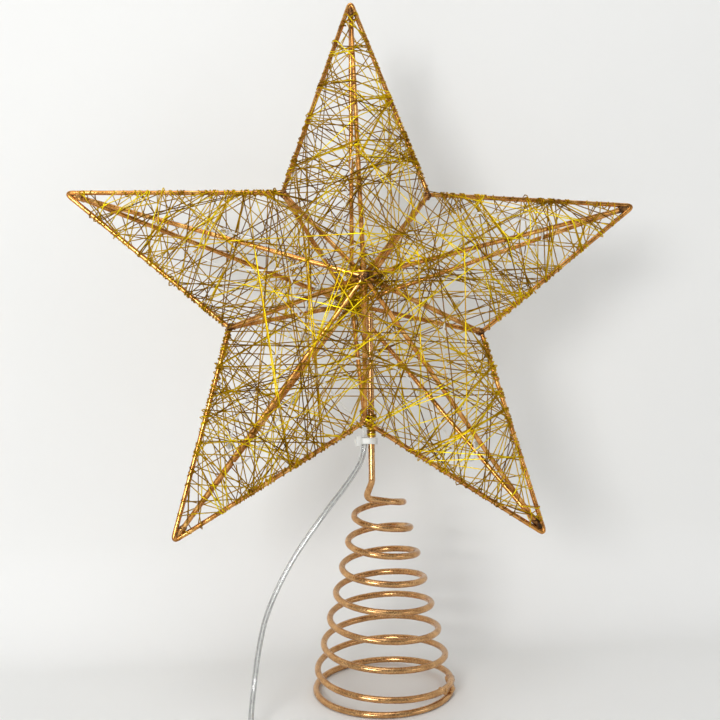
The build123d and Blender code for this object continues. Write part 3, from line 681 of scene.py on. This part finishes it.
shaped = bmesh.new()
ring = bmesh.ops.create_circle(shaped, segments=tie_segments, radius=tie_bore + tie_wall,
                               matrix=Matrix.Rotation(pi / tie_segments, 4, "Z"))
for vert in ring["verts"]:
    vert.co.x += tie_span / 2 if vert.co.x > 0 else -tie_span / 2
raise_edges(shaped, shaped.edges[:], (0, 0, tie_tall))
bmesh.ops.recalc_face_normals(shaped, faces=shaped.faces)
bmesh.ops.solidify(shaped, geom=shaped.faces[:], thickness=tie_wall)
bmesh.ops.rotate(shaped, cent=(0, 0, 0), matrix=Matrix.Rotation(tie_turn, 3, "Z"), verts=shaped.verts)
for spot, size in ((head_place, head_size), (tail_place, tail_size)):
    bmesh.ops.create_cube(shaped, size=1.0, matrix=Matrix.Translation(spot) @ Matrix.Diagonal((*size, 1)))
sharp = [edge for edge in shaped.edges if edge.is_manifold and edge.calc_face_angle() > sharp_angle]
bmesh.ops.bevel(shaped, geom=sharp, offset=tie_rounding, segments=3, profile=0.5, affect="EDGES", material=-1)
tie_mesh = finished_mesh(shaped, "tie")
tie_stand = Matrix.Translation(tie_place) @ Matrix.Rotation(-pi / 2, 4, "X")
tie_mesh.transform(star_to_row @ tie_stand)
nylon, tree, shader = cloudy_finish("nylon", 0.0, 0.34, 300.0, (0.72, 0.73, 0.70), (0.86, 0.86, 0.83))
shader.inputs["Transmission Weight"].default_value = 0.2
shader.inputs["Subsurface Weight"].default_value = 0.3
shader.inputs["Subsurface Radius"].default_value = (0.002, 0.002, 0.002)
place(tie_mesh, "cable_strap", "star", "tie_nylon", nylon, ["cable_tie"])

# Battery box: a white moulded tray with a sliding cover, a small switch at its end and a sleeve for the lead.
# Fine spark-eroded texture on the plastic, with ON and OFF raised beside the switch.
case_plastic, tree, shader = cloudy_finish("case_plastic", 0.0, 0.48, 60.0,
                                           (0.76, 0.76, 0.73), (0.83, 0.83, 0.81), detail=5.0)
add_bump(tree, shader, add_noise(tree, 2600.0, 2.0), 0.25, 0.00015)
knob_plastic, tree, shader = cloudy_finish("knob_plastic", 0.0, 0.42, 800.0,
                                           (0.012, 0.012, 0.013), (0.03, 0.03, 0.031))
add_bump(tree, shader, add_noise(tree, 3000.0, 2.0), 0.25, 0.0001)
sleeve, tree, shader = cloudy_finish("cell_sleeve", 0.35, 0.26, 40.0,
                                     (0.02, 0.024, 0.03), (0.05, 0.055, 0.065), spread=0.15, detail=4.0)
plated, tree, shader = cloudy_finish("plated_steel", 1.0, 0.28, 700.0,
                                     (0.55, 0.55, 0.56), (0.78, 0.78, 0.79), spread=0.15)
node_finish = {
    "box_case": case_plastic, "box_cover": case_plastic, "lead_grommet": case_plastic,
    "switch_knob": knob_plastic, "switch_body": knob_plastic, "cell_1": sleeve, "cell_2": sleeve,
    "contact_plates": plated,
}
for name, finish in node_finish.items():
    nodes[name].data.materials.clear()
    nodes[name].data.materials.append(finish)
letter_size, letter_rise = 2.6, 0.12
off_inset, on_inset = 4.5, 5.0


def raised_word(word, middle):
    """A word in raised letters, flat on the top of the box."""
    letters = bpy.data.curves.new(word, "FONT")
    letters.body = word
    letters.size = letter_size
    letters.extrude = letter_rise
    letters.align_x = "CENTER"
    letters.align_y = "CENTER"
    holder = bpy.data.objects.new(word, letters)
    mesh = bpy.data.meshes.new_from_object(holder)
    bpy.data.objects.remove(holder)
    mesh.transform(row_scale @ Matrix.Translation(middle))
    return place(mesh, f"word_{word.lower()}", "base", "box_plastic", case_plastic)


case_low, case_high = (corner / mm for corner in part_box("box_case"))
knob_low, knob_high = (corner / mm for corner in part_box("switch_knob"))
knob_x = (knob_low.x + knob_high.x) / 2
off_word = raised_word("OFF", Vector((knob_x, case_high.y - off_inset, case_high.z)))
on_word = raised_word("ON", Vector((knob_x, case_low.y + on_inset, case_high.z)))

# Contact springs: a cone of plated steel wire at the flat end of each cell, soldered to its plate.
# It has three turns: the wide one lies on the plate and the narrow one presses on the cell.
contact_wire, contact_turns, contact_room = 0.5, 3, 2.7
contact_wide, contact_narrow = 3.6, 2.2
steps_per_turn, contact_sides = 24, 10
springs_low, springs_high = (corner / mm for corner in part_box("cell_springs"))
contact_runs = []
for cell, plate, way in (("cell_1", springs_low.x, 1), ("cell_2", springs_high.x, -1)):
    cell_low, cell_high = (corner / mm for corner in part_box(cell))
    run = []
    for step in range(contact_turns * steps_per_turn + 1):
        share = step / (contact_turns * steps_per_turn)
        angle = 2 * pi * contact_turns * share
        radius = contact_wide + (contact_narrow - contact_wide) * share
        run.append(Vector((plate + way * (contact_wire / 2 + contact_room * share),
                           (cell_low.y + cell_high.y) / 2 + radius * cos(angle),
                           (cell_low.z + cell_high.z) / 2 + radius * sin(angle))))
    contact_runs.append(run)
contact_mesh = wire_mesh("contact_cones", contact_runs, contact_wire / 2, contact_sides)
contact_mesh.transform(row_scale)
contact_cones = place(contact_mesh, "contact_cones", "base", "contact_steel", plated, ["cell_springs"])

# Coil strap: a flat nylon strip closed round all the loops of the spare lead, which keeps the coil flat.
# It is bent by hand, with its two ends twisted together.
strap_wall, strap_bend = 0.45, 1.2
twist_length, twist_turns, twist_wire = 6.5, 3.5, 0.42
twist_steps, twist_sides = 44, 8
twist_swing, twist_drop = 2.5, 1.2
strap_low, strap_high = (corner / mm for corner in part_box("coil_tie"))
strap_middle, strap_size = (strap_low + strap_high) / 2, strap_high - strap_low
shaped = bmesh.new()
bmesh.ops.create_grid(shaped, x_segments=1, y_segments=1, size=0.5,
                      matrix=Matrix.Diagonal((strap_size.x, strap_size.z, 1, 1)))
bmesh.ops.bevel(shaped, geom=shaped.verts[:], offset=strap_bend, segments=5, profile=0.5, affect="VERTICES",
                material=-1)
bmesh.ops.delete(shaped, geom=shaped.faces[:], context="FACES_ONLY")
raise_edges(shaped, shaped.edges[:], (0, 0, strap_size.y))
bmesh.ops.recalc_face_normals(shaped, faces=shaped.faces)
bmesh.ops.solidify(shaped, geom=shaped.faces[:], thickness=strap_wall)
strap_place = Matrix.Translation((strap_middle.x, strap_high.y, strap_middle.z))
bmesh.ops.transform(shaped, matrix=strap_place @ Matrix.Rotation(pi / 2, 4, "X"), verts=shaped.verts)
twist = ([], [])
for step in range(twist_steps + 1):
    share = step / twist_steps
    angle = 2 * pi * twist_turns * share
    spot = Vector((strap_low.x, strap_middle.y, strap_middle.z))
    spot -= Vector((twist_length * share, twist_swing * share * share, twist_drop * share))
    swing = Vector((0, cos(angle), sin(angle))) * twist_wire
    twist[0].append(spot + swing)
    twist[1].append(spot - swing)
shaped.from_mesh(wire_mesh("twist", twist, twist_wire, twist_sides))
strap_mesh = finished_mesh(shaped, "coil_strap")
strap_mesh.transform(row_scale)
coil_strap = place(strap_mesh, "coil_strap", "base", "tie_nylon", nylon, ["coil_tie"])

# Lead: two fine cores in clear flat flex. It hangs from the tie, curves down to the table and runs forward.
# The spare length is wound in five loops, and its end goes into the battery box.
lead_width = 2.1
coil_centre = Vector((-66.25, -54.0, 0.0))
coil_outer, coil_pitch, coil_loops, coil_lift = 14.45, 2.6, 5, 0.65
climb_turns = 0.5
coil_low = coil_lift + lead_width / 2
points_per_loop = 16
round_out = 4 / (3 + cos(2 * pi / points_per_loop))


def coil_place(turn):
    """The coiled lead: in on the lower layer, out again on the upper one."""
    half = coil_loops / 2
    radius = coil_outer - coil_pitch * (half - abs(turn - half))
    climb = min(max(turn - half + climb_turns / 2, 0), climb_turns) / climb_turns
    height = coil_low + coil_pitch * climb * climb * (3 - 2 * climb)
    angle = -2 * pi * turn
    return coil_centre + Vector((radius * round_out * cos(angle), radius * round_out * sin(angle), height))


lead_route = [
    star_spot(2.45, -56.5, -2.9),
    star_spot(2.45, -63.5, -2.9),
    Vector((-12.9, -12.9, 87.0)),
    Vector((-23.5, -16.0, 75.0)),
    Vector((-36.5, -17.5, 57.5)),
    Vector((-45.5, -19.5, 40.0)),
    Vector((-49.0, -21.0, 26.0)),
    Vector((-51.0, -23.0, 12.5)),
    Vector((-52.2, -29.5, 3.6)),
    Vector((-51.8, -40.5, coil_low)),
    Vector((-51.8, -48.0, coil_low)),
]
lead_route += [coil_place(step / points_per_loop) for step in range(points_per_loop * coil_loops + 1)]
coil_top = coil_low + coil_pitch
lead_route += [
    Vector((-51.8, -60.0, coil_top)),
    Vector((-51.8, -66.0, coil_top)),
    Vector((-51.8, -71.8, coil_top)),
]
curve_steps = 8


def route_curve(name, route, resolution):
    """A smooth curve with the route's points as its control points."""
    line = bpy.data.curves.new(name, "CURVE")
    line.dimensions = "3D"
    spline = line.splines.new("NURBS")
    spline.points.add(len(route) - 1)
    spline.points.foreach_set("co", [value for spot in route for value in (*spot, 1)])
    spline.order_u = 3
    spline.use_endpoint_u = True
    spline.resolution_u = resolution
    return line


def route_points(name, route, resolution):
    """Points read from a route's smooth curve."""
    holder = bpy.data.objects.new(name, route_curve(name, route, resolution))
    mesh = bpy.data.meshes.new_from_object(holder)
    spots = [vert.co.copy() for vert in mesh.vertices]
    bpy.data.objects.remove(holder)
    bpy.data.meshes.remove(mesh)
    return spots


def flex_mesh(name, route, loops):
    """Closed outlines carried along the route, as the flex is drawn through a die."""
    outline = bpy.data.curves.new(name + "_section", "CURVE")
    for loop in loops:
        ring = outline.splines.new("POLY")
        ring.points.add(len(loop) - 1)
        ring.points.foreach_set("co", [value for spot in loop for value in (*spot, 0, 1)])
        ring.use_cyclic_u = True
    section = bpy.data.objects.new(name + "_section", outline)
    line = route_curve(name, route, curve_steps)
    line.bevel_mode = "OBJECT"
    line.bevel_object = section
    holder = bpy.data.objects.new(name, line)
    for piece in (section, holder):
        bpy.context.scene.collection.objects.link(piece)
    drawn = holder.evaluated_get(bpy.context.evaluated_depsgraph_get())
    mesh = bpy.data.meshes.new_from_object(drawn)
    bpy.data.objects.remove(holder)
    bpy.data.objects.remove(section)
    shaped = bmesh.new()
    shaped.from_mesh(mesh)
    bmesh.ops.holes_fill(shaped, edges=[edge for edge in shaped.edges if edge.is_boundary])
    bmesh.ops.recalc_face_normals(shaped, faces=shaped.faces)
    shaped.to_mesh(mesh)
    shaped.free()
    mesh.shade_smooth()
    mesh.transform(row_scale)
    return mesh


def core_outline(centre):
    """The round section of one core, off to one side."""
    turns = [2 * pi * step / core_sides for step in range(core_sides)]
    return [(centre + core_radius * cos(turn), core_radius * sin(turn)) for turn in turns]


core_gap, core_radius, core_sides = 0.5, 0.24, 8
flex_spread, flex_round, flex_sides = 0.45, 0.6525, 28
flex_outline = []
for step in range(flex_sides):
    angle = 2 * pi * step / flex_sides
    reach = sqrt(flex_spread * cos(2 * angle) + sqrt(flex_round ** 2 - (flex_spread * sin(2 * angle)) ** 2))
    flex_outline.append((reach * cos(angle), reach * sin(angle)))
clear_flex, tree, shader = cloudy_finish("clear_flex", 0.0, 0.12, 120.0,
                                         (0.86, 0.87, 0.85), (0.95, 0.96, 0.95))
shader.inputs["Transmission Weight"].default_value = 0.82
shader.inputs["IOR"].default_value = 1.46
core_metal, tree, shader = cloudy_finish("core_metal", 0.75, 0.42, 900.0,
                                         (0.30, 0.30, 0.295), (0.58, 0.58, 0.57), spread=0.15)
lead_mesh = flex_mesh("lead", lead_route, [flex_outline])
cores_mesh = flex_mesh("lead_cores", lead_route, [core_outline(-core_gap), core_outline(core_gap)])
lead = bpy.data.objects.new("lead", lead_mesh)
cores = bpy.data.objects.new("lead_cores", cores_mesh)
for piece, finish in ((lead, clear_flex), (cores, core_metal)):
    bpy.context.scene.collection.objects.link(piece)
    piece.data.materials.append(finish)
    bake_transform(piece)
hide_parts("lead_cord", "lead_coil", "lead_tail")
lead_path = [spot * mm for spot in route_points("lead_path", lead_route, curve_steps)]

# Light string: a fine clear-coated pair of wires that runs from the lead through all five arms.
# A drop of clear resin is moulded round each small light on it.
led_route = [
    (2.45, -56.5, -2.9), (2.45, -54.1, -2.9), (-2.5, -48.5, -2.5), (-10, -40, 2), (-18.5, -29, 5),
    (-23.5, -8, 5), (-27, 12, 5), (-41, 21, 4), (-62, 24, 2), (-69, 18, 0), (-58, 11, 1), (-38, 6, 6),
    (-19, 8, 13), (8, 20, 10),
    (33, 29, 4.5), (50, 31.5, 3), (69, 29, 1.5), (76, 21.5, 0), (65, 14, -1), (47, 3, -2), (32, -12, -2),
    (35, -34, -1), (45, -54, 0), (46, -66, 0.5), (38, -66, 1), (31, -50, 3), (17, -31, 6), (0, -25, 6),
    (-16, -33, 2), (-32, -50, 0), (-42, -66, -0.5), (-50.5, -66, -1.5), (-48, -50, -4), (-36, -31, -7),
    (-22, -9, -9), (-8, 15, -9), (-3, 41, -5), (0, 66, 0),
]
led_twist, led_strand, led_sides, led_steps = 7.0, 0.23, 8, 12
led_line = route_points("light_line", [Vector(spot) for spot in led_route], led_steps)
pair = ([], [])
travelled = 0.0
for before, here, after in zip(led_line, led_line[1:], led_line[2:]):
    travelled += (here - before).length
    way = (after - before).normalized()
    side = way.cross(Vector((0.31, 0.22, 0.92))).normalized()
    face = way.cross(side)
    angle = 2 * pi * travelled / led_twist
    offset = (side * cos(angle) + face * sin(angle)) * led_strand
    pair[0].append(here + offset)
    pair[1].append(here - offset)
string_mesh = wire_mesh("light_pair", pair, led_strand, led_sides)
string_mesh.transform(star_to_row)
clear_coat, tree, shader = cloudy_finish("clear_coat", 0.0, 0.2, 500.0,
                                         (0.78, 0.78, 0.75), (0.93, 0.93, 0.91), spread=0.15)
place(string_mesh, "light_pair", "star", "led_wire", clear_coat, ["light_string"])
drop_length, drop_width = 4.0, 1.3
first_drop, drop_every = 4, 3
chip_place, chip_size, chip_rounding = (0.45, 0, 0), (0.5, 0.8, 1.1), 0.1
drops, chips = bmesh.new(), bmesh.new()
for run in range(first_drop, len(led_route) - 1, drop_every):
    target = (Vector(led_route[run]) + Vector(led_route[run + 1])) / 2
    nearest = min(range(1, len(led_line) - 1), key=lambda number: (led_line[number] - target).length)
    middle = led_line[nearest]
    way = (led_line[nearest + 1] - led_line[nearest - 1]).normalized()
    stand = Matrix.Translation(middle) @ Vector((0, 0, 1)).rotation_difference(way).to_matrix().to_4x4()
    bmesh.ops.create_uvsphere(drops, u_segments=20, v_segments=14, radius=1.0,
                              matrix=stand @ Matrix.Diagonal((drop_width, drop_width, drop_length / 2, 1)))
    chip_stand = stand @ Matrix.Translation(chip_place) @ Matrix.Diagonal((*chip_size, 1))
    bmesh.ops.create_cube(chips, size=1.0, matrix=chip_stand)
bmesh.ops.bevel(chips, geom=chips.edges[:], offset=chip_rounding, segments=2, profile=0.5, affect="EDGES",
                material=-1)
resin, tree, shader = cloudy_finish("clear_resin", 0.0, 0.08, 200.0, (0.93, 0.93, 0.90), (0.98, 0.98, 0.96))
shader.inputs["Transmission Weight"].default_value = 0.95
shader.inputs["IOR"].default_value = 1.5
phosphor, tree, shader = cloudy_finish("phosphor", 0.0, 0.45, 900.0, (0.78, 0.55, 0.08), (0.9, 0.7, 0.16))
for name, shaped, finish in (("resin_drops", drops, resin), ("light_chips", chips, phosphor)):
    mesh = finished_mesh(shaped, name)
    mesh.transform(star_to_row)
    place(mesh, name, "star", "led_clear", finish, ["light_drops"] if name == "resin_drops" else [])

# Stage: a pale table top that curves up into a pale sheet behind the star, which catches its soft shadow.
# The sheet is clear from behind, so that the back of the star can be looked at.
floor_half, sheet_half, sheet_tall = 3.0, 2.0, 2.0
cove_start, cove_radius, cove_steps = 0.036, 0.045, 24
floor_level = -0.0003
shaped = bmesh.new()
bmesh.ops.create_grid(shaped, x_segments=1, y_segments=1, size=floor_half,
                      matrix=Matrix.Translation((0, 0, floor_level)))
floor_mesh = finished_mesh(shaped, "table_top")
shaped = bmesh.new()
ends = [bmesh.ops.create_vert(shaped, co=(across, cove_start, floor_level))["vert"][0]
        for across in (-sheet_half, sheet_half)]
foot = shaped.edges.new(ends)
curved = bmesh.ops.spin(shaped, geom=[foot], cent=(0, cove_start, floor_level + cove_radius), axis=(1, 0, 0),
                        angle=pi / 2, steps=cove_steps)
top = [item for item in curved["geom_last"] if isinstance(item, bmesh.types.BMEdge)]
raise_edges(shaped, top, (0, 0, sheet_tall))
sheet_mesh = finished_mesh(shaped, "back_sheet")
pale_dark, pale_light = (0.80, 0.80, 0.785), (0.84, 0.84, 0.825)
pale, tree, shader = cloudy_finish("pale_table", 0.0, 0.7, 3.0, pale_dark, pale_light, detail=2.0)
pale_sheet, tree, shader = cloudy_finish("pale_sheet", 0.0, 0.7, 3.0, pale_dark, pale_light, detail=2.0)
one_sided = tree.nodes.new("ShaderNodeMixShader")
clear_back = tree.nodes.new("ShaderNodeBsdfTransparent")
which_side = tree.nodes.new("ShaderNodeNewGeometry")
tree.links.new(which_side.outputs["Backfacing"], one_sided.inputs["Fac"])
tree.links.new(shader.outputs["BSDF"], one_sided.inputs[1])
tree.links.new(clear_back.outputs["BSDF"], one_sided.inputs[2])
tree.links.new(one_sided.outputs["Shader"], tree.nodes["Material Output"].inputs["Surface"])
for name, mesh, finish in (("table_top", floor_mesh, pale), ("back_sheet", sheet_mesh, pale_sheet)):
    mesh.materials.append(finish)
    stage_piece = bpy.data.objects.new(name, mesh)
    bpy.context.scene.collection.objects.link(stage_piece)

# Light: a soft lamp to the left of the camera, a weak one on the right and one above.
# The surround is pale, and darker on the camera's side, so that the wires keep dark edges.
world = bpy.data.worlds.new("surround")
world.use_nodes = True
bpy.context.scene.world = world
tree = world.node_tree
surround = tree.nodes["Background"]
surround.inputs["Strength"].default_value = 0.68
sky_way = tree.nodes.new("ShaderNodeTexCoord")
sky_parts = tree.nodes.new("ShaderNodeSeparateXYZ")
sky_share = tree.nodes.new("ShaderNodeMapRange")
sky_share.inputs["From Min"].default_value = -1.0
tree.links.new(sky_way.outputs["Generated"], sky_parts.inputs["Vector"])
tree.links.new(sky_parts.outputs["Y"], sky_share.inputs["Value"])
sky_tones = [(0.0, (0.26, 0.26, 0.27)), (0.22, (0.40, 0.41, 0.42)), (0.5, (0.95, 0.97, 1.0))]
tree.links.new(add_ramp(tree, sky_share.outputs["Result"], sky_tones), surround.inputs["Color"])
# Each lamp's place, the length of its side and its power
lamps = {
    "left_lamp": ((-0.5, -0.95, 0.35), 0.32, 6.6),
    "right_lamp": ((0.9, -0.7, 0.35), 0.5, 1.2),
    "top_lamp": ((-0.1, -0.3, 1.1), 0.5, 2.5),
}
aim = Vector((0, 0, 0.14))
for name, (spot, size, power) in lamps.items():
    lamp = bpy.data.lights.new(name, "AREA")
    lamp.size = size
    lamp.energy = power
    holder = bpy.data.objects.new(name, lamp)
    holder.location = spot
    holder.rotation_euler = (Vector(spot) - aim).to_track_quat("Z", "Y").to_euler()
    bpy.context.scene.collection.objects.link(holder)

# Camera: in front of the star, as high as its centre and a little to the left, as in the photograph.
# Its turn is an axis as long as the angle in degrees, and its place is in millimetres.
camera = bpy.data.cameras.new("camera")
camera.sensor_width = 36.0
camera.lens = 48.55
camera.clip_start = 0.01
camera_place = Vector((-39.2, -378.5, 156.9))
camera_turn = Vector((3.659, -4.896, -1.247))
level_view = Matrix(((1, 0, 0), (0, 0, -1), (0, 1, 0)))
view_turn = Matrix.Rotation(radians(camera_turn.length), 3, camera_turn) @ level_view
camera_axes = Matrix((view_turn[0], -view_turn[1], -view_turn[2])).transposed().to_4x4()
eye = bpy.data.objects.new("camera", camera)
eye.matrix_world = Matrix.Translation(camera_place * mm) @ camera_axes
bpy.context.scene.collection.objects.link(eye)
bpy.context.scene.camera = eye
bpy.context.scene.view_settings.view_transform = "Standard"
